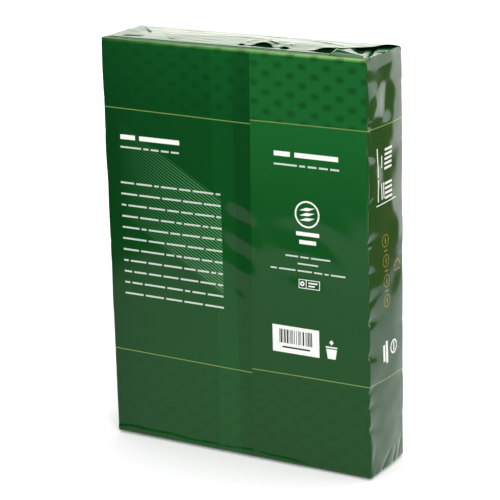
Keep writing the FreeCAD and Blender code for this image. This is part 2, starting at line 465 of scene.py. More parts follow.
@dataclass
class FilmSleeve:
    """The film round the stack: four faces, the rims, the inner flaps and the tucked ends."""

    size: PackSize = PACK
    relief: FilmRelief = RELIEF
    face_columns: int = 150
    side_columns: int = 42
    corner_columns: int = 4
    wall_rows: int = 168
    rim_rows: int = 8
    top_rows: int = 40
    foot_rows: int = 8
    outline: dict[str, np.ndarray] = field(default_factory=dict)

    def lay_out(self) -> None:
        """Places the columns round the outline: the lap's panel from the seam to the right,
        the right side, the back, the left side and the left panel up to the seam, with an arc
        of columns at each corner. Each has its place, its outward direction and its partner's
        x across the pack."""
        a, b, r = self.size.half_width, self.size.half_depth, self.size.edge_radius
        seam = (self.size.seam_foot + self.size.seam_top) / 2
        n, m = self.face_columns, self.side_columns
        left = round(n * (seam + a) / (2 * a))
        front_x = np.concatenate([np.linspace(-a + r, seam, left), np.linspace(seam, a - r, n - left)])
        back_x = np.linspace(a - r, -a + r, n)
        side_y = np.linspace(-b + r, b - r, m)
        turn = np.linspace(0, math.pi / 2, self.corner_columns + 2)[1:-1]

        def face(
            x: np.ndarray, y: np.ndarray, nx: float, ny: float, partner: np.ndarray, lap: bool
        ) -> np.ndarray:
            """The columns of one flat face."""
            whole = np.ones(np.broadcast(x, y).shape)
            return np.stack([x * whole, y * whole, nx * whole, ny * whole, partner * whole, lap * whole])

        def corner(start: float, centre_x: float, centre_y: float) -> np.ndarray:
            """The columns of one corner: points on an arc about its centre."""
            nx, ny = np.cos(start + turn), np.sin(start + turn)
            x = centre_x + r * nx
            return np.stack([x, centre_y + r * ny, nx, ny, x, 0 * x])

        columns = np.concatenate(
            [
                face(front_x[left:], -b, 0.0, -1.0, back_x[::-1][left:], True),
                corner(-math.pi / 2, a - r, -b + r),
                face(a, side_y, 1.0, 0.0, a, False),
                corner(0.0, a - r, b - r),
                face(back_x, b, 0.0, 1.0, back_x, False),
                corner(math.pi / 2, -a + r, b - r),
                face(-a, side_y[::-1], -1.0, 0.0, -a, False),
                corner(math.pi, -a + r, -b + r),
                face(front_x[:left], -b, 0.0, -1.0, back_x[::-1][:left], False),
            ],
            axis=1,
        )
        self.outline = dict(zip(("x", "y", "nx", "ny", "partner", "lap"), columns))

    def rows(self) -> tuple[np.ndarray, np.ndarray, np.ndarray]:
        """Lays the rows from the foot's middle line over the foot rim, up the wall, over the
        top rim and in to the top's middle line.

        Returns:
            For each row and column the inset from the outline and the height, and for each
            row how much of the wall's relief it takes.
        """
        size = self.size
        x, y, nx, ny = self.outline["x"], self.outline["y"], np.abs(self.outline["nx"]), self.outline["ny"]
        b = size.half_depth
        scallop = nx * ((0.24 + 0.11 * np.sign(x)) * ripples(3 * y, x, 26.0, 41) + 0.25 * (1 - (y / b) ** 2))
        rolled = 1.5 * smooth((x + 110.0) / 80.0) * (ny < -0.7)
        uneven = np.where(y > 0, 0.04, 0.18)
        top_radius = size.top_rim * (1 - 0.45 * nx) + rolled + uneven * ripples(x, 3 * y, 24.0, 43)
        top_edge = size.deck + scallop + 0.12 * ripples(x, y, 31.0, 45)
        foot_radius = size.foot_rim * (1 - 0.3 * nx) + 0.25 * ripples(x, 3 * y, 37.0, 47)
        foot_edge = size.foot + 0.0 * x
        phi = np.linspace(0, math.pi / 2, self.rim_rows)[:, None]
        over = np.linspace(0, 1, self.top_rows)[1:, None] ** 1.15
        under = np.linspace(1, 0, self.foot_rows)[:-1, None] ** 1.4
        t = np.linspace(-1, 1, self.wall_rows)[1:-1, None]
        t = 0.5 + 0.5 * np.sign(t) * (1 - (1 - np.abs(t)) ** 1.4)
        low, high = foot_edge + foot_radius, top_edge - top_radius
        down = phi[::-1]
        top_folds = self.top_level(top_edge, top_radius, over)
        parts = [
            (foot_radius + (b - foot_radius) * under, self.foot_level(under), 0 * under[:, 0]),
            (foot_radius * (1 - np.cos(down)), low - foot_radius * np.sin(down), np.cos(down[:, 0])),
            (0 * t * x, low + (high - low) * t, 1 + 0 * t[:, 0]),
            (top_radius * (1 - np.cos(phi)), high + top_radius * np.sin(phi), np.cos(phi[:, 0])),
            (top_radius + (b - top_radius) * over, top_folds, 0 * over[:, 0]),
        ]
        inset, height, share = (np.concatenate(values) for values in zip(*parts))
        return inset, height, share

    def foot_level(self, under: np.ndarray) -> np.ndarray:
        """The folds under the pack: the front flap a ply lower than the tucked ends.

        Args:
            under: The rows' share of the way in.

        Returns:
            The height at each row and column.
        """
        ny = self.outline["ny"]
        drop = np.where(ny < -0.7, smooth(6 * under), smooth(5 * under - 4))
        return self.size.foot - self.size.ply * drop

    def top_level(self, edge: np.ndarray, radius: np.ndarray, over: np.ndarray) -> np.ndarray:
        """The folds on top. The front flap dips behind the rim and climbs to its crown. The
        tucked ends slope down to the flaps' slants, with a deep crease from the front corner.

        Args:
            edge: Each column's height at the rim.
            radius: Each column's rim radius.
            over: The rows' share of the way in.

        Returns:
            The height at each row and column.
        """
        size = self.size
        x, y, nx, ny = (self.outline[key] for key in ("x", "y", "nx", "ny"))
        reach = radius + (size.half_depth - radius) * over
        place_x = x * (size.half_width - reach) / size.half_width
        place_y = y * (size.half_depth - reach) / size.half_depth
        flap = self.relief.front_flap(place_x, np.where(y > 0, 2 * size.half_depth - reach, reach))
        flap = flap * np.where(ny > 0, smooth((reach - 2.0) / 5.0), 1.0)
        flap = flap - 1.5 * ridge(place_x, place_y, (-103.0, -18.6), (-76.0, -14.0), 1.3)
        right = smooth(x / 20.0)
        crease_x = size.half_width - 1.5 - 0.31 * (place_y + size.half_depth)
        away = place_x - crease_x
        inner = smooth(-away / 9.0) * right + smooth(1.6 * over) * (1 - right)
        slope = -inner * (0.6 + 0.5 * right)
        brink = place_y - np.interp(place_x, (70.0, 79.0, 93.0, 101.0, 106.0), (-2.0, 2.0, 8.0, 15.0, 22.0))
        hollow = -7.0 * smooth((place_x - 76.0) / 3.0) * smooth(brink / 1.6) * smooth(6 * over)
        fold = np.where(away > 0, np.exp(-away / 0.9), np.exp(away / 1.3))
        crease = -3.6 * fold * smooth(8 * over) * right
        tuck = slope + crease + (0.08 + 0.12 * right) * ripples(place_x, place_y, 16.0, 53) * smooth(3 * over)
        middle = self.relief.front_flap(place_x, size.half_depth + 0 * reach)
        closing = smooth(5 * over - 4)
        tuck = tuck * (1 - closing) + middle * closing
        share = smooth((nx ** 2 - 0.35) / 0.3)
        folded = flap * (1 - share) + tuck * share
        return size.deck + (edge - size.deck) * (1 - over) ** 2 + folded + hollow

    def carry(self, inset: np.ndarray, z: np.ndarray, share: np.ndarray, lift: float = 0.0) -> np.ndarray:
        """Carries rows round the outline: a point is its column's place, drawn in towards the
        middle line by the row's inset and moved out by the relief of its face.

        Args:
            inset: How far in each point lies, as rows by columns.
            z: The points' heights.
            share: How much of the wall's relief each row takes.
            lift: How far the points stand off the film.

        Returns:
            The points, as rows by columns by 3.
        """
        size, relief = self.size, self.relief
        a, b = size.half_width, size.half_depth
        keep = share[:, None]
        x0, y0, nx, ny, partner, lap = (self.outline[key][None, :] for key in self.outline)
        toward = smooth(inset / b)
        seam = (size.seam_foot + size.seam_top) / 2
        room = np.where(x0 < seam, (x0 + a) / (seam + a), (a - x0) / (a - seam))
        x = (x0 + (size.seam_x(z) - seam) * room * (ny < -0.9)) * (1 - toward) + partner * toward
        second_ply = lap * relief.lap(x, z)
        front = relief.front(x, z) + second_ply
        narrow = np.where(nx > 0, relief.narrow(1, y0, z), relief.narrow(-1, y0, z))
        out_x = nx * (narrow * keep + lift)
        out_y = ny * (np.where(ny < 0, front, relief.back(x, z)) * keep + lift)
        up = second_ply * (1 - keep) * (1 - toward) * (z > size.deck / 2)
        return np.stack([x * (a - inset) / a + out_x, y0 * (b - inset) / b + out_y, z + up], axis=-1)

    def build(self) -> bpy.types.Object:
        """Makes the sleeve, whose last column joins the first in the step of the lap.

        Returns:
            The sleeve, which replaces the solid.
        """
        self.lay_out()
        points = self.carry(*self.rows())
        rows, columns = points.shape[:2]
        piece = new_object("film_sleeve", points.reshape(-1, 3), grid_quads(rows, columns, wrap=True))
        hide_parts(NODE)
        return piece


@dataclass
class GoldLines:
    """Two thin gold lines printed round the sleeve, which miss each other at the seam."""

    sleeve: FilmSleeve
    width: float = 0.7
    lift: float = 0.05
    turns: tuple = (0.0, 91.0, 145.0, 356.0, 410.0, 530.0)
    upper: tuple = (250.4, 250.6, 250.0, 249.6, 249.3, 247.6)
    lower: tuple = (69.1, 69.6, 67.8, 67.5, 67.3, 65.9)

    def build(self) -> bpy.types.Object:
        """Makes strips whose height runs evenly from corner to corner round the outline, in
        three rows a strip, closed behind.

        Returns:
            Both lines as one piece.
        """
        x, y = self.sleeve.outline["x"], self.sleeve.outline["y"]
        along = np.concatenate([[0.0], np.cumsum(np.hypot(np.diff(x), np.diff(y)))])
        along *= self.turns[-1] / along[-1]
        shells = []
        for heights in (self.upper, self.lower):
            middle = np.interp(along, self.turns, heights)
            z = middle + self.width * np.array([[-0.5], [0.0], [0.5]])
            grids = [self.sleeve.carry(0 * z, z, np.ones(3), lift) for lift in (self.lift, -self.lift)]
            shells.append(closed_sheet(*grids))
        return new_object("gold_lines", *joined(shells))


@dataclass(frozen=True)
class Shape:
    """A printed shape: a grid of places on a panel, rows by columns."""

    u: np.ndarray
    v: np.ndarray

    @classmethod
    def bar(cls, left: float, right: float, low: float, high: float) -> "Shape":
        """An upright rectangle, in cells of at most 3 mm."""
        columns = 2 + int((right - left) / 3)
        rows = 2 + int((high - low) / 3)
        u, v = np.meshgrid(np.linspace(left, right, columns), np.linspace(low, high, rows))
        return cls(u, v)

    @classmethod
    def slab(cls, corners: tuple, cells: int = 4) -> "Shape":
        """A four-sided shape: an even blend of its corners.

        Args:
            corners: Its corners: left low, right low, right high, left high.
            cells: How many cells it has each way.

        Returns:
            The shape.
        """
        s, t = np.meshgrid(np.linspace(0, 1, cells + 1), np.linspace(0, 1, cells + 1))
        weights = ((1 - s) * (1 - t), s * (1 - t), s * t, (1 - s) * t)
        u = sum(w * corner[0] for w, corner in zip(weights, corners))
        v = sum(w * corner[1] for w, corner in zip(weights, corners))
        return cls(u, v)

    @classmethod
    def ring(cls, centre: tuple, inner: float, outer: float) -> "Shape":
        """A ring: two circles about a centre, from the outer one inwards."""
        angle = np.linspace(0, 2 * math.pi, 42)
        radius = np.array([[outer], [inner]])
        return cls(centre[0] + radius * np.cos(angle), centre[1] + radius * np.sin(angle))

    @classmethod
    def lozenge(cls, centre: tuple, half_width: float, half_height: float) -> "Shape":
        """A lozenge about its centre."""
        (u, v), w, h = centre, half_width, half_height
        return cls.slab(((u, v - h), (u + w, v), (u, v + h), (u - w, v)))


@dataclass(frozen=True)
class Typesetter:
    """Sets placeholder lines: plain bars as long as words, with no letter in them."""

    letter: float
    space: float
    height: float
    reading: Reading = Reading.ACROSS

    def line(self, start: float, end: float, base: float, seed: int) -> list[Shape]:
        """Fills a line from its start to its end. Word lengths come from a seeded generator,
        and are scaled together so that the line ends flush.

        Args:
            start: Where the line begins, along its reading.
            end: Where it ends.
            base: Its base line, across its reading.
            seed: The generator's seed.

        Returns:
            The bars.
        """
        draw = np.random.default_rng(seed)
        length = abs(end - start)
        words = draw.integers(2, 10, size=60) * self.letter
        count = max(1, int(np.searchsorted(np.cumsum(words + self.space), length)))
        words = words[:count] * (length - (count - 1) * self.space) / words[:count].sum()
        first = np.concatenate([[0.0], np.cumsum(words + self.space)[:-1]])
        return [self.put(start, at, at + word, base) for at, word in zip(first, words)]

    def put(self, start: float, first: float, last: float, base: float) -> Shape:
        """One bar, turned to the line's reading."""
        if self.reading is Reading.ACROSS:
            return Shape.bar(start + first, start + last, base, base + self.height)
        return Shape.bar(base, base + self.height, start - last, start - first)


@dataclass
class PrintedMarks:
    """Shapes in one ink on one panel, each a thin closed sheet set into the film."""

    name: str
    panel: Panel
    shapes: list[Shape]
    lift: float = 0.05
    bed: float = 0.06
    relief: FilmRelief = RELIEF

    def build(self) -> bpy.types.Object:
        """Carries each shape's grid onto the film twice, just over and just under it.

        Returns:
            The marks as one piece.
        """
        shells = []
        for shape in self.shapes:
            heights = (self.lift, -self.bed)
            grids = [self.relief.place(self.panel, shape.u, shape.v, lift) for lift in heights]
            shells.append(closed_sheet(*grids))
        return new_object(self.name, *joined(shells))


@dataclass(frozen=True)
class PrintLayout:
    """What stands where on the wrapper: placeholder lines, plain signs and ornaments."""

    small: Typesetter = Typesetter(letter=1.75, space=1.9, height=1.3)
    caption: Typesetter = Typesetter(letter=1.5, space=1.7, height=1.1)
    side_small: Typesetter = Typesetter(letter=1.6, space=1.3, height=1.2, reading=Reading.DOWN)

    def heading(self, left: float, base: float) -> list[Shape]:
        """Two thick bars, a short one and a long one."""
        high = base + 3.4
        return [Shape.bar(left, left + 12.5, base, high), Shape.bar(left + 16.0, left + 49.5, base, high)]

    def headings(self) -> list[Shape]:
        """The heading of each panel."""
        return self.heading(-92.4, 226.6) + self.heading(33.4, 227.4)

    def fine_print(self) -> list[Shape]:
        """The small lines of both panels: one under each heading, a block of eleven flush
        lines on the left, and three centred lines on the right.

        Returns:
            The shapes.
        """
        shapes = self.small.line(-92.6, -43.5, 220.2, 3) + self.small.line(33.2, 83.6, 221.0, 3)
        for i in range(11):
            shapes += self.small.line(-93.6, -10.2, 193.9 - 8.33 * i, 40 + i)
        shapes += self.caption.line(41.0, 76.0, 156.6, 12) + self.caption.line(50.5, 66.5, 151.6, 13)
        return shapes + self.caption.line(29.0, 87.5, 146.4, 14)

    def right_panel_signs(self) -> list[Shape]:
        """A round sign of stacked sheets, a small badge, a bin sign and the code's panel.

        Returns:
            The shapes.
        """
        shapes = [Shape.ring((58.5, 188.0), 8.4, 9.6)]
        for i in range(3):
            z = 183.4 + 3.6 * i
            shapes.append(Shape.slab(((52.6, z), (59.4, z), (64.4, z + 2.2), (57.6, z + 2.2))))
        shapes += [Shape.bar(49.5, 67.5, 172.4, 175.2), Shape.bar(52.0, 65.0, 166.6, 169.4)]
        for low, high in ((134.6, 135.1), (140.6, 141.1)):
            shapes.append(Shape.bar(51.0, 67.5, low, high))
        for left, right in ((51.0, 51.5), (56.6, 57.1), (67.0, 67.5)):
            shapes.append(Shape.bar(left, right, 135.1, 140.6))
        shapes += [Shape.bar(58.6, 65.6, 138.4, 139.4), Shape.bar(58.6, 63.6, 136.3, 137.3)]
        shapes.append(Shape.ring((53.8, 137.9), 0.7, 1.7))
        shapes.append(Shape.bar(29.4, 66.4, 85.4, 105.3))
        shapes.append(Shape.slab(((73.0, 86.0), (79.0, 86.0), (80.2, 93.2), (71.8, 93.2))))
        shapes += [Shape.bar(71.4, 80.6, 94.0, 95.0), Shape.lozenge((76.0, 98.0), 1.7, 1.9)]
        return shapes

    def code_bars(self) -> list[Shape]:
        """Plain upright bars of mixed widths, which stand for no number, over a thin base bar."""
        draw = np.random.default_rng(8)
        edges = 34.0 + np.cumsum(draw.choice([0.45, 0.45, 0.8, 1.2], size=74))
        edges = edges[edges < 62.0]
        shapes = [Shape.bar(left, right, 92.4, 102.6) for left, right in zip(edges[0::2], edges[1::2])]
        return shapes + [Shape.bar(37.0, 59.0, 88.9, 90.1)]

    def right_side_white(self) -> list[Shape]:
        """Two bold blocks and small lines that read downwards, a rule under them, and a ring
        sign with plain blocks beside it.

        Returns:
            The shapes.
        """
        shapes = []
        for start, count in ((234.2, 5), (210.4, 4)):
            for i in range(count):
                shapes.append(Shape.bar(-3.4, 7.6, start - 3.3 * i - 1.7, start - 3.3 * i))
        shapes += self.side_small.line(236.0, 199.0, -14.2, 7)
        shapes += self.side_small.line(230.0, 221.5, -8.2, 15)
        shapes += self.side_small.line(211.0, 199.5, -5.8, 9) + self.side_small.line(211.0, 199.5, -8.8, 10)
        shapes.append(Shape.bar(-16.4, 13.6, 196.2, 196.9))
        shapes.append(Shape.ring((9.5, 89.0), 3.9, 5.2))
        shapes.append(Shape.bar(8.7, 10.3, 85.8, 92.2))
        shapes += [Shape.bar(-2.6, 0.4, 80.0, 96.0), Shape.bar(-6.6, -3.8, 82.0, 94.0)]
        return shapes

    def right_side_gold(self) -> list[Shape]:
        """A chain of slim lozenges and small rings down the side, and a rosette beside it.

        Returns:
            The shapes.
        """
        shapes = []
        for i in range(4):
            z = 169.0 - 14.5 * i
            shapes.append(Shape.ring((-2.4 + 0.5 * i, z), 4.0, 4.7))
            shapes.append(Shape.lozenge((-2.4 + 0.5 * i, z), 1.0, 3.0))
            if i < 3:
                shapes.append(Shape.lozenge((-2.1 + 0.5 * i, z - 7.2), 3.4, 0.8))
        for i in range(5):
            turn = math.radians(20 + 35 * i)
            petal = (16.5 + 4.6 * math.cos(turn), 146.0 + 4.6 * math.sin(turn))
            shapes.append(Shape.lozenge(petal, 1.1, 1.5))
        shapes.append(Shape.bar(12.0, 21.0, 143.2, 144.2))
        return shapes


@dataclass
class TopOuterFlap:
    """The flap that folds from the back over the top, with buckled arches in its loose edge."""

    size: PackSize = PACK
    relief: FilmRelief = RELIEF
    columns: int = 230
    rows: int = 56
    thickness: float = 0.2
    # Arches in the loose edge: place, half width, lift and how far they draw the edge in
    arches: tuple = (
        (19.0, 7.0, 2.6, 4.8),
        (67.5, 7.0, 2.6, 4.5),
        (3.0, 3.0, 1.0, 1.8),
        (36.0, 3.4, 1.2, 2.4),
        (-58.0, 9.0, 0.4, 0.6),
    )
    # Long ridges: height, start, end and width
    ridges: tuple = (
        (0.7, (74.0, 3.0), (40.0, 17.0), 1.1),
        (0.5, (0.0, 19.0), (24.0, 17.0), 0.8),
        (0.4, (-20.0, 8.0), (30.0, 6.0), 0.7),
    )
    # The right slant's distance from the middle line against the reach from the fold
    slant_reach: tuple = (0.0, 4.0, 11.0, 18.0, 25.0, 44.0)
    slant_place: tuple = (105.6, 104.6, 101.8, 94.4, 79.5, 64.0)

    def build(self) -> bpy.types.Object:
        """A grid over the flap's outline: across it the parameter runs between the slants, and
        along it from the back rim to the loose edge, which the arches draw in. It lies on the
        front flap at the loose edge, swells over the folds behind it, is lifted over the
        arches and gapes along its right slant, with long wrinkles along the width and a
        crumpled tip at the back left corner.

        Returns:
            The flap.
        """
        size = self.size
        a, b = size.half_width, size.half_depth
        across = np.linspace(-1, 1, self.columns)[None, :]
        along = np.linspace(1, 0, self.rows)[:, None]
        depth = size.flap_depth + 0.5 * np.sin(9 * across)
        guess_x = across * (a - size.flap_depth) + 2.0 * (across > 0) * across
        for at, width, _, scoop in self.arches:
            depth = depth - scoop * bell(guess_x, at, width, 4)
        start = 0.8 * size.top_rim
        reach = start + (depth - start) * along
        right = np.interp(reach, self.slant_reach, self.slant_place)
        x = np.where(across < 0, across * (a - reach + 0.4), across * right)
        y = b - reach
        bedded = np.maximum(self.relief.front_flap(x, y + b), 0.3) + 0.6 * self.thickness
        crest = np.sin(math.pi * np.clip(reach / size.flap_depth, 0, 1))
        level = bedded + 0.35 * crest ** 2
        level += crest * (0.16 * ripples(x, 2.2 * y, 50.0, 61) + 0.08 * ripples(0.2 * x, y, 7.0, 63))
        z = smooth((reach - start) / 4.0) * level
        edge = bell(depth - reach, 0.0, 12.0)
        for at, width, lift, _ in self.arches:
            z = z + lift * bell(x, at, width) * edge
        slant = smooth(1 - (1 - across) * 9.0)
        z = z + 2.1 * slant * bell(reach, 12.5, 6.5)
        z = z - 1.1 * smooth(1 - (1 + across) * 6.0) * smooth((reach - 1.5) / 3.5)
        for height, start_at, end_at, width in self.ridges:
            z = z + height * ridge(x, y, start_at, end_at, width) * smooth((reach - start) / 4.0)
        z = z + 0.35 * bell(x, -99.0, 3.0) * bell(y, 24.5, 1.5)
        z = np.minimum(size.deck - 0.2 + z, CAD_BOX[1][2] / MM - 0.05)
        top = np.stack([x, y + 0 * z, z], axis=-1)
        return new_object("top_outer_flap", *closed_sheet(top, top - [0.0, 0.0, self.thickness]))


@dataclass
class FootOuterFlap:
    """The flap that folds from the back under the foot, pressed flat on the floor."""

    size: PackSize = PACK
    columns: int = 60
    rows: int = 16

    def build(self) -> bpy.types.Object:
        """A grid over the trapezium at the floor's level, which climbs to the fold by a level
        ended curve and is closed above by a sheet a ply thick.

        Returns:
            The flap.
        """
        size = self.size
        across = np.linspace(-1, 1, self.columns)[None, :]
        reach = np.linspace(size.flap_depth, size.foot_rim, self.rows)[:, None]
        x = across * (size.half_width - reach)
        y = size.half_depth - reach + 0 * x
        z = size.ply + size.foot * (1 - smooth((reach - size.foot_rim) / 5.0)) + 0 * x
        top = np.stack([x, y, z], axis=-1)
        return new_object("foot_outer_flap", *closed_sheet(top, top - [0.0, 0.0, size.ply]))


def to_linear(hex_code: str) -> tuple[float, float, float, float]:
    """Turns an sRGB hex colour into linear light.

    Args:
        hex_code: Six hex digits.

    Returns:
        Red, green, blue and an alpha of 1.
    """
    values = [int(hex_code[i:i + 2], 16) / 255 for i in (0, 2, 4)]
    linear = [v / 12.92 if v <= 0.04045 else ((v + 0.055) / 1.055) ** 2.4 for v in values]
    return (*linear, 1.0)


MATH = "ShaderNodeMath"
VECTOR = "ShaderNodeVectorMath"
RANGE = "ShaderNodeMapRange"
MIX = "ShaderNodeMix"
RAMP = "ShaderNodeValToRGB"
PLACE = "ShaderNodeTexCoord"
AXES = "ShaderNodeSeparateXYZ"
PATH = "ShaderNodeLightPath"


def add_node(
    tree: bpy.types.NodeTree, kind: str, settings: dict | None = None, **inputs: object
) -> bpy.types.Node:
    """Adds a node with its settings and links.

    Args:
        tree: The node tree.
        kind: The node's type.
        settings: Its own properties by name, with a colour ramp's stops under "stops".
        inputs: Its inputs, as in_0 or by name with underscores for spaces. A socket is linked,
            a node is linked by the first output that is in use, and anything else is set.

    Returns:
        The node.
    """
    node = tree.nodes.new(kind)
    for name, value in (settings or {}).items():
        if name == "stops":
            set_stops(node.color_ramp, value)
        else:
            setattr(node, name, value)
    for name, value in inputs.items():
        key = int(name[3:]) if name.startswith("in_") else name.replace("_", " ")
        if isinstance(value, bpy.types.Node):
            value = next(socket for socket in value.outputs if socket.enabled)
        if isinstance(value, bpy.types.NodeSocket):
            tree.links.new(value, node.inputs[key])
        else:
            node.inputs[key].default_value = value
    return node


def set_stops(ramp: bpy.types.ColorRamp, stops: tuple) -> None:
    """Fills a colour ramp.

    Args:
        ramp: The ramp.
        stops: Pairs of a position and a hex colour, or a number for a grey.
    """
    for _ in range(len(stops) - 2):
        ramp.elements.new(0.5)
    for element, (position, code) in zip(ramp.elements, stops):
        element.position = position
        element.color = to_linear(code) if isinstance(code, str) else (code, code, code, 1.0)


def band(
    tree: bpy.types.NodeTree, value: object, centre: float, half: float, soft: float
) -> bpy.types.Node:
    """A stripe: 1 within half of the centre, falling to 0 over a soft edge.

    Args:
        tree: The node tree.
        value: The coordinate's node or socket.
        centre: The stripe's middle.
        half: Its half width.
        soft: The width of its soft edge.

    Returns:
        The stripe's node.
    """
    off = add_node(tree, MATH, {"operation": "SUBTRACT"}, in_0=value, in_1=centre)
    away = add_node(tree, MATH, {"operation": "ABSOLUTE"}, in_0=off)
    return add_node(
        tree, RANGE, {"interpolation_type": "SMOOTHSTEP"}, Value=away,
        From_Min=half - soft / 2, From_Max=half + soft / 2, To_Min=1.0, To_Max=0.0,
    )


def new_material(name: str) -> tuple[bpy.types.Material, bpy.types.NodeTree]:
    """A material with an empty node tree.

    Args:
        name: Its name.

    Returns:
        The material and its node tree.
    """
    material = bpy.data.materials.new(name)
    material.use_nodes = True
    material.node_tree.nodes.clear()
    return material, material.node_tree


@dataclass(frozen=True)
class LaminateGloss:
    """The clear polypropylene laminate over the print: a smooth polymer skin, so the ground
    shows through undimmed and its reflections are sharp, weak face on and strong aslant."""

    ior: float = 1.5
    roughness: float = 0.1

    def shader(self, tree: bpy.types.NodeTree, colour: object, metallic: float = 0.0) -> None:
        """Ends a material's tree in the laminate's shader.

        Args:
            tree: The material's node tree.
            colour: A colour or a colour socket for the ink below.
            metallic: How much of the ink is metal flake.
        """
        shader = add_node(
            tree, "ShaderNodeBsdfPrincipled",
            Base_Color=colour, Metallic=metallic, Roughness=self.roughness, IOR=self.ior,
        )
        add_node(tree, "ShaderNodeOutputMaterial", Surface=shader)


@dataclass(frozen=True)
class PlainInk:
    """One flat ink under the laminate. White gives crisp bars, gold and bronze a dull metal
    glint that stays visible in the dark, and near black the code's bars."""

    name: str
    colour: str
    metallic: float = 0.0
    gloss: LaminateGloss = LaminateGloss()

    def make(self) -> bpy.types.Material:
        """The ink's material.

        Returns:
            The material.
        """
        material, tree = new_material(self.name)
        self.gloss.shader(tree, to_linear(self.colour), self.metallic)
        return material


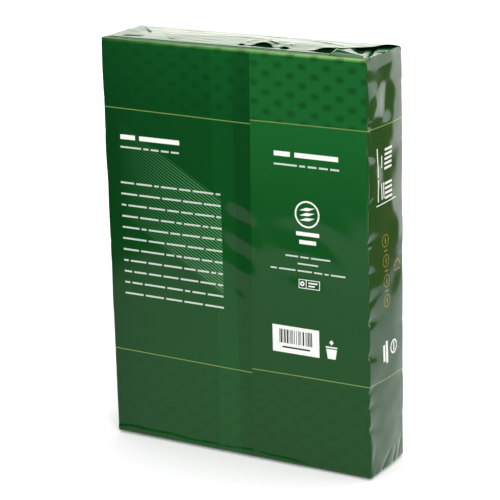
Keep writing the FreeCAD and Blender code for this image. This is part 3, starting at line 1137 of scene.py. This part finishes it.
@dataclass(frozen=True)
class GreenPrintWithPaintedLight:
    """The wrapper's print with painted light laid into it: a dark green ground that is lighter
    towards the top as painted light, more so on the lap's panel, with soft darker lozenges in
    the end zones and a field of fine slanting lines. The lines are drawn as wide as the picture
    can still show. The ground is also darker towards the left edge with a painted reflection
    band beside the seam, and the top front rim carries a painted highlight."""

    # From the foot to the top: left of the seam, on the lap's panel, on the narrow sides. The lighter top and
    # the lighter lap panel are painted light.
    left_print_and_painted_light_stops: tuple = (
        (0.0, "0A4A18"), (0.42, "0A4618"), (0.6, "084318"), (0.85, "08451A"), (1.0, "0C4E20"),
    )
    lap_print_and_painted_light_stops: tuple = (
        (0.0, "0C4715"), (0.4, "0C4818"), (0.62, "0F501E"), (0.8, "165C28"), (1.0, "185E2A"),
    )
    side_stops: tuple = ((0.0, "0A4416"), (1.0, "10461A"))
    # The left panel's brightness from its left edge to the seam: darker towards its left edge, then a lighter
    # band beside the seam that is a painted reflection, and darker again past it
    across_painted_light_stops: tuple = (
        (0.0, 0.76), (0.2, 0.92), (0.4, 1.0), (0.73, 1.04),
        (0.75, 1.2), (0.87, 1.16), (0.89, 0.94), (1.0, 0.92),
    )
    lozenge: str = "072F11"
    # A painted highlight along the top front rim, laid into the print's colour
    painted_rim_highlight: str = "6FA648"
    slant: str = "6FB07A"
    lozenge_width: float = 9.4
    lozenge_height: float = 13.2
    slant_pitch: float = 2.27
    slant_slope: float = 0.585
    gloss: LaminateGloss = LaminateGloss()

    def make(self) -> bpy.types.Material:
        """The print's material, worked out from Object coordinates in millimetres.

        Returns:
            The material.
        """
        # The material carries the print and the painted light laid into it.
        material, tree = new_material("printed green laminate")
        place = add_node(tree, PLACE).outputs["Object"]
        scaled = add_node(tree, VECTOR, {"operation": "SCALE"}, in_0=place, Scale=1 / MM)
        x, y, z = add_node(tree, AXES, in_0=scaled).outputs
        aside = add_node(tree, MATH, {"operation": "ABSOLUTE"}, in_0=x)
        on_front = add_node(tree, MATH, {"operation": "LESS_THAN"}, in_0=y, in_1=-PACK.half_depth + 1.5)
        on_side = add_node(tree, MATH, {"operation": "GREATER_THAN"}, in_0=aside, in_1=PACK.half_width - 0.9)
        layers = (
            # The first layer is a painted highlight on the top front rim.
            (self.painted_rim_highlight_factor(tree, x, y, z), self.painted_rim_highlight),
            (self.lozenge_factor(tree, x, z, on_side), self.lozenge),
            (self.line_factor(tree, x, z, on_front), self.slant),
        )
        ground = self.ground(tree, x, z, on_front, on_side)
        for factor, colour in layers:
            ground = add_node(
                tree, MIX, {"data_type": "RGBA"}, in_0=factor, in_6=ground, in_7=to_linear(colour)
            )
        self.gloss.shader(tree, ground)
        return material

    def ground(
        self, tree: bpy.types.NodeTree, x: object, z: object, on_front: object, on_side: object
    ) -> bpy.types.Node:
        """The plain ground's colour: a run of greens up each panel, whose lighter top and lighter lap panel
        are painted light, times a painted light ramp across the width.

        Args:
            tree: The node tree.
            x: The place along the width.
            z: The height.
            on_front: 1 on the seam's face.
            on_side: 1 on the narrow sides.

        Returns:
            The colour's node.
        """
        height = add_node(tree, MATH, {"operation": "DIVIDE"}, in_0=z, in_1=PACK.deck)
        lean = (PACK.seam_top - PACK.seam_foot) / (PACK.deck - PACK.foot)
        seam = add_node(tree, MATH, {"operation": "MULTIPLY_ADD"}, in_0=z, in_1=lean, in_2=PACK.seam_foot)
        past_seam = add_node(tree, MATH, {"operation": "GREATER_THAN"}, in_0=x, in_1=seam)
        on_lap = add_node(tree, MATH, {"operation": "MULTIPLY"}, in_0=past_seam, in_1=on_front)
        across = add_node(tree, RANGE, Value=x, From_Min=-PACK.half_width, From_Max=PACK.seam_top)
        # Painted light across the width, on all but the lap's panel and the sides: darker towards the left
        # edge, with a painted reflection band beside the seam.
        shade = add_node(tree, RAMP, {"stops": self.across_painted_light_stops}, in_0=across)
        ground = add_node(
            tree, MIX, {"data_type": "RGBA", "blend_type": "MULTIPLY"},
            in_0=1.0, in_6=add_node(tree, RAMP, {"stops": self.left_print_and_painted_light_stops}, in_0=height), in_7=shade,
        )
        # The lap's panel takes a lighter ramp, which is painted light.
        for factor, stops in ((on_lap, self.lap_print_and_painted_light_stops), (on_side, self.side_stops)):
            colour = add_node(tree, RAMP, {"stops": stops}, in_0=height)
            ground = add_node(tree, MIX, {"data_type": "RGBA"}, in_0=factor, in_6=ground, in_7=colour)
        return ground

    def painted_rim_highlight_factor(self, tree: bpy.types.NodeTree, x: object, y: object, z: object) -> bpy.types.Node:
        """How much painted highlight lies along the top front rim, more so to the right.

        Args:
            tree: The node tree.
            x: The place along the width.
            y: The place through the thickness.
            z: The height.

        Returns:
            The factor's node.
        """
        rim = band(tree, z, PACK.deck - 0.9, 1.2, 1.6)
        at_front = add_node(tree, MATH, {"operation": "LESS_THAN"}, in_0=y, in_1=-PACK.half_depth + 2.6)
        # The painted highlight is weak at the left end of the rim and strong at the right.
        highlight_strength = add_node(tree, RANGE, Value=x, From_Min=-105.0, From_Max=105.0, To_Min=0.1, To_Max=0.75)
        front_rim = add_node(tree, MATH, {"operation": "MULTIPLY"}, in_0=rim, in_1=at_front)
        return add_node(tree, MATH, {"operation": "MULTIPLY"}, in_0=front_rim, in_1=highlight_strength)

    def lozenge_factor(
        self, tree: bpy.types.NodeTree, x: object, z: object, on_side: object
    ) -> bpy.types.Node:
        """Staggered rows of soft lozenges, where the product of a cosine along the width and
        one up the height is positive, in the end zones of the broad faces.

        Args:
            tree: The node tree.
            x: The place along the width.
            z: The height.
            on_side: 1 on the narrow sides.

        Returns:
            The factor's node.
        """
        waves = []
        for axis, turn in ((x, math.pi / self.lozenge_width), (z, 2 * math.pi / self.lozenge_height)):
            step = add_node(tree, MATH, {"operation": "MULTIPLY"}, in_0=axis, in_1=turn)
            waves.append(add_node(tree, MATH, {"operation": "COSINE"}, in_0=step))
        wave = add_node(tree, MATH, {"operation": "MULTIPLY"}, in_0=waves[0], in_1=waves[1])
        spots = add_node(
            tree, RANGE, {"interpolation_type": "SMOOTHSTEP"}, Value=wave, From_Min=0.05, From_Max=0.95
        )
        depth = add_node(tree, RANGE, Value=x, From_Min=-90.0, From_Max=60.0, To_Min=0.22, To_Max=0.46)
        top_zone = add_node(tree, RANGE, Value=z, From_Min=250.5, From_Max=251.5, To_Max=depth)
        foot_zone = add_node(tree, RANGE, Value=z, From_Min=67.0, From_Max=66.0, To_Max=0.22)
        zones = add_node(tree, MATH, {"operation": "ADD"}, in_0=top_zone, in_1=foot_zone)
        faces = add_node(tree, MATH, {"operation": "SUBTRACT"}, in_0=1.0, in_1=on_side)
        shown = add_node(tree, MATH, {"operation": "MULTIPLY"}, in_0=zones, in_1=faces)
        return add_node(tree, MATH, {"operation": "MULTIPLY"}, in_0=spots, in_1=shown)

    def line_factor(
        self, tree: bpy.types.NodeTree, x: object, z: object, on_front: object
    ) -> bpy.types.Node:
        """Fine slanting lines in a field on the left panel, fainter towards its left edge.

        Args:
            tree: The node tree.
            x: The place along the width.
            z: The height.
            on_front: 1 on the seam's face.

        Returns:
            The factor's node.
        """
        slanted = add_node(tree, MATH, {"operation": "MULTIPLY_ADD"}, in_0=x, in_1=self.slant_slope, in_2=z)
        turns = add_node(tree, MATH, {"operation": "DIVIDE"}, in_0=slanted, in_1=self.slant_pitch)
        stripe = add_node(tree, MATH, {"operation": "FRACT"}, in_0=turns)
        factor = band(tree, stripe, 0.5, 0.15, 0.16)
        brighter = add_node(tree, RANGE, Value=x, From_Min=-95.0, From_Max=-12.0, To_Max=0.7)
        field_across = band(tree, x, -52.5, 42.5, 0.8)
        field_up = band(tree, slanted, 150.0, 34.4, 4.0)
        for part in (field_across, field_up, brighter, on_front):
            factor = add_node(tree, MATH, {"operation": "MULTIPLY"}, in_0=factor, in_1=part)
        return factor


@dataclass
class Studio:
    """A white sweep under soft light. The glossy film sees a white floor close by, a dark room
    beyond it, and a pale backdrop behind the pack."""

    floor_half: float = 4.0
    floor_white: tuple = (0.93, 0.93, 0.93, 1.0)
    sweep_half: float = 0.47
    sweep_across: tuple = (0.862, 0.506, 0.0)
    wall: float = 1.6
    backdrop_side: tuple = (-1.023, 0.558, 0.0)
    strip_place: tuple = (0.63, -0.49, 0.0)
    dark_room: tuple = (0.03, 0.03, 0.02, 1.0)
    brown_room: tuple = (0.26, 0.17, 0.07, 1.0)
    pale_wall: tuple = (1.7, 1.7, 1.65, 1.0)
    warm_tint: tuple = (1.0, 1.0, 0.93)
    faint_room: tuple = (0.02, 0.016, 0.008)
    soft_fill: tuple = (0.62, 0.62, 0.62, 1.0)
    white: tuple = (1.0, 1.0, 1.0, 1.0)

    def build(self) -> None:
        """Makes the floor, the world and the lamps."""
        self.floor()
        self.world()
        self.lamp("overhead softbox", (0.1, 0.15, 1.7), (1.3, 1.3), 15.0)
        self.lamp("front softbox", (1.3, -1.6, 1.3), (1.0, 1.0), 24.0)

    def floor(self) -> None:
        """A wide flat floor, which the camera sees as white with the pack's shadow."""
        h = self.floor_half / MM
        points = np.array([[-h, -h, 0.0], [h, -h, 0.0], [h, h, 0.0], [-h, h, 0.0]])
        piece = new_object("floor", points, np.array([[0, 1, 2, 3]]))
        material, tree = new_material("white sweep")
        path = add_node(tree, PATH)
        place = add_node(tree, PLACE).outputs["Object"]
        distance = add_node(tree, VECTOR, {"operation": "LENGTH"}, in_0=place)
        away = add_node(
            tree, RANGE, {"interpolation_type": "SMOOTHSTEP"}, Value=distance,
            From_Min=0.3, From_Max=1.2, To_Min=0.14, To_Max=0.9,
        )
        lift = add_node(
            tree, MATH, {"operation": "MULTIPLY"}, in_0=path.outputs["Is Camera Ray"], in_1=away
        )
        diffuse = add_node(tree, "ShaderNodeBsdfDiffuse", Color=self.floor_white)
        glow = add_node(tree, "ShaderNodeEmission", Strength=lift)
        lit = add_node(tree, "ShaderNodeAddShader", in_0=diffuse, in_1=glow)
        mirror = add_node(tree, "ShaderNodeEmission", Color=self.reflected(tree, place), Strength=1.0)
        surface = add_node(
            tree, "ShaderNodeMixShader", Fac=path.outputs["Is Glossy Ray"], in_1=lit, in_2=mirror
        )
        add_node(tree, "ShaderNodeOutputMaterial", Surface=surface)
        piece.data.materials.append(material)

    def reflected(self, tree: bpy.types.NodeTree, place: bpy.types.NodeSocket) -> bpy.types.Node:
        """What the glossy film sees in the floor: a bright sweep close by, dimmer in front and
        to the right, then a dark room on the left and a brown one on the right, then a pale
        wall, and a soft strip light on the floor to the right.

        Args:
            tree: The floor's node tree.
            place: The place on the floor, in metres.

        Returns:
            The colour's node.
        """
        y = add_node(tree, AXES, in_0=place).outputs[1]
        across = add_node(tree, VECTOR, {"operation": "DOT_PRODUCT"}, in_0=place, in_1=self.sweep_across)
        aside = add_node(tree, MATH, {"operation": "ABSOLUTE"}, in_0=across)
        near = add_node(
            tree, RANGE, Value=aside, From_Min=self.sweep_half + 0.015, From_Max=self.sweep_half - 0.015
        )
        far = add_node(tree, RANGE, Value=across, From_Min=self.wall - 0.03, From_Max=self.wall + 0.03)
        turned = add_node(tree, VECTOR, {"operation": "DOT_PRODUCT"}, in_0=place, in_1=self.backdrop_side)
        right = add_node(tree, RANGE, Value=across, From_Min=-0.1, From_Max=0.1)
        aslant = add_node(tree, RANGE, Value=turned, From_Min=-0.02, From_Max=0.02, To_Max=right)
        beyond = add_node(tree, MATH, {"operation": "MAXIMUM"}, in_0=far, in_1=aslant)
        lit = add_node(tree, RANGE, Value=y, From_Min=-0.03, From_Max=0.01, To_Min=0.5, To_Max=1.4)
        fading = add_node(tree, RANGE, Value=across, From_Min=0.1, From_Max=0.5, To_Max=0.62)
        sweep = add_node(tree, MATH, {"operation": "SUBTRACT"}, in_0=lit, in_1=fading)
        dark = add_node(
            tree, MIX, {"data_type": "RGBA"}, in_0=right, in_6=self.dark_room, in_7=self.brown_room
        )
        room = add_node(tree, MIX, {"data_type": "RGBA"}, in_0=beyond, in_6=dark, in_7=self.pale_wall)
        seen = add_node(tree, MIX, {"data_type": "RGBA"}, in_0=near, in_6=room, in_7=sweep)
        off_strip = add_node(tree, VECTOR, {"operation": "DISTANCE"}, in_0=place, in_1=self.strip_place)
        strip = add_node(
            tree, RANGE, {"interpolation_type": "SMOOTHSTEP"}, Value=off_strip,
            From_Min=0.3, From_Max=0.14, To_Max=2.4,
        )
        return add_node(tree, VECTOR, {"operation": "ADD"}, in_0=seen, in_1=strip)

    def world(self) -> None:
        """White to the camera, even soft light on everything, and for reflections a pale
        backdrop low behind the pack and a dark room elsewhere."""
        world = bpy.data.worlds.new("studio")
        bpy.context.scene.world = world
        world.use_nodes = True
        tree = world.node_tree
        tree.nodes.clear()
        path = add_node(tree, PATH)
        direction = add_node(tree, PLACE).outputs["Generated"]
        _, back, up = add_node(tree, AXES, in_0=direction).outputs
        soft = {"interpolation_type": "SMOOTHSTEP"}
        behind = add_node(tree, RANGE, soft, Value=back, From_Min=0.1, From_Max=0.4)
        backdrop = add_node(tree, RANGE, Value=up, From_Max=0.62, To_Min=1.95, To_Max=1.5)
        low = add_node(tree, RANGE, soft, Value=up, From_Min=0.48, From_Max=0.58, To_Min=1.0, To_Max=0.0)
        overhead = add_node(tree, RANGE, soft, Value=up, From_Min=0.72, From_Max=0.8, To_Max=2.6)
        pale = behind
        for factor in (low, backdrop):
            pale = add_node(tree, MATH, {"operation": "MULTIPLY"}, in_0=pale, in_1=factor)
        bright = add_node(tree, MATH, {"operation": "ADD"}, in_0=pale, in_1=overhead)
        warm = add_node(
            tree, VECTOR, {"operation": "MULTIPLY_ADD"},
            in_0=bright, in_1=self.warm_tint, in_2=self.faint_room,
        )
        plain = add_node(
            tree, MIX, {"data_type": "RGBA"},
            in_0=path.outputs["Is Camera Ray"], in_6=self.soft_fill, in_7=self.white,
        )
        mixed = add_node(
            tree, MIX, {"data_type": "RGBA"}, in_0=path.outputs["Is Glossy Ray"], in_6=plain, in_7=warm
        )
        background = add_node(tree, "ShaderNodeBackground", Color=mixed, Strength=1.0)
        add_node(tree, "ShaderNodeOutputWorld", Surface=background)

    @staticmethod
    def lamp(name: str, place: tuple, spread: tuple, power: float) -> None:
        """A rectangular softbox aimed at the middle of the pack.

        Args:
            name: Its name.
            place: Where it hangs, in metres.
            spread: Its width and height, in metres.
            power: Its power, in watts.
        """
        light = bpy.data.lights.new(name, "AREA")
        light.shape = "RECTANGLE"
        light.size, light.size_y = spread
        light.energy = power
        lamp = bpy.data.objects.new(name, light)
        lamp.location = place
        middle = Vector((0, 0, 0.15))
        lamp.rotation_euler = (Vector(place) - middle).to_track_quat("Z", "Y").to_euler()
        lamp.visible_camera = False
        lamp.visible_glossy = False
        bpy.context.scene.collection.objects.link(lamp)


@dataclass(frozen=True)
class PhotoCamera:
    """The photograph's viewpoint, fitted to the pack's corners: angles in degrees, lengths in
    millimetres, and the offset of the camera's axis from the pack's middle."""

    azimuth: float = 30.368
    elevation: float = 16.478
    roll: float = -1.448
    lens: float = 146.54
    distance: float = 1452.9
    offset: tuple[float, float] = (-2.627, -1.48)
    middle: float = 149.8

    def build(self) -> None:
        """Makes the camera. It stands back along its axis, moved by the offset across it."""
        azimuth, elevation, roll = (math.radians(v) for v in (self.azimuth, self.elevation, self.roll))
        level = math.cos(elevation)
        back = Vector((math.sin(azimuth) * level, -math.cos(azimuth) * level, math.sin(elevation)))
        right = Vector((math.cos(azimuth), math.sin(azimuth), 0.0))
        up = back.cross(right)
        across = math.cos(roll) * right + math.sin(roll) * up
        upward = -math.sin(roll) * right + math.cos(roll) * up
        place = Vector((0, 0, self.middle)) + self.distance * back
        place += self.offset[0] * across + self.offset[1] * upward
        data = bpy.data.cameras.new("camera")
        data.lens = self.lens
        data.sensor_width = 36.0
        data.clip_end = 50.0
        camera = bpy.data.objects.new("camera", data)
        turn = Matrix((across, upward, back)).transposed().to_4x4()
        camera.matrix_world = Matrix.Translation(place * MM) @ turn
        bpy.context.scene.collection.objects.link(camera)
        bpy.context.scene.camera = camera


def dress(piece: bpy.types.Object, material: bpy.types.Material) -> None:
    """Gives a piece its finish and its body.

    Args:
        piece: The piece.
        material: Its material.
    """
    piece.data.materials.append(material)
    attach(piece, "root")
    log.info("%s: %d faces", piece.name, len(piece.data.polygons))


def main() -> None:
    """Builds the pack's pieces in order, then the studio and the camera."""
    logging.basicConfig(level=logging.INFO, format="%(name)s: %(message)s")
    bpy.context.scene.view_settings.view_transform = "Standard"
    green = GreenPrintWithPaintedLight().make()
    white = PlainInk("white ink under laminate", "F0F2EC").make()
    fine_white = PlainInk("fine white ink under laminate", "C6D2C5").make()
    gold = PlainInk("gold line ink under laminate", "7B914F", metallic=0.1).make()
    bronze = PlainInk("bronze ornament ink under laminate", "96803A", metallic=0.2).make()
    black = PlainInk("dark ink under laminate", "16231A").make()
    sleeve = FilmSleeve()
    for part in (sleeve, TopOuterFlap(), FootOuterFlap()):
        dress(part.build(), green)
    dress(GoldLines(sleeve).build(), gold)
    layout = PrintLayout()
    marks = (
        (PrintedMarks("panel_headings", Panel.SEAM_FACE, layout.headings()), white),
        (PrintedMarks("panel_fine_print", Panel.SEAM_FACE, layout.fine_print()), fine_white),
        (PrintedMarks("right_panel_signs", Panel.SEAM_FACE, layout.right_panel_signs()), white),
        (PrintedMarks("code_bars", Panel.SEAM_FACE, layout.code_bars(), lift=0.1), black),
        (PrintedMarks("side_print", Panel.RIGHT_SIDE, layout.right_side_white()), white),
        (PrintedMarks("side_ornament", Panel.RIGHT_SIDE, layout.right_side_gold()), bronze),
    )
    for mark, ink in marks:
        dress(mark.build(), ink)
    Studio().build()
    PhotoCamera().build()


if __name__ == "__main__":
    main()
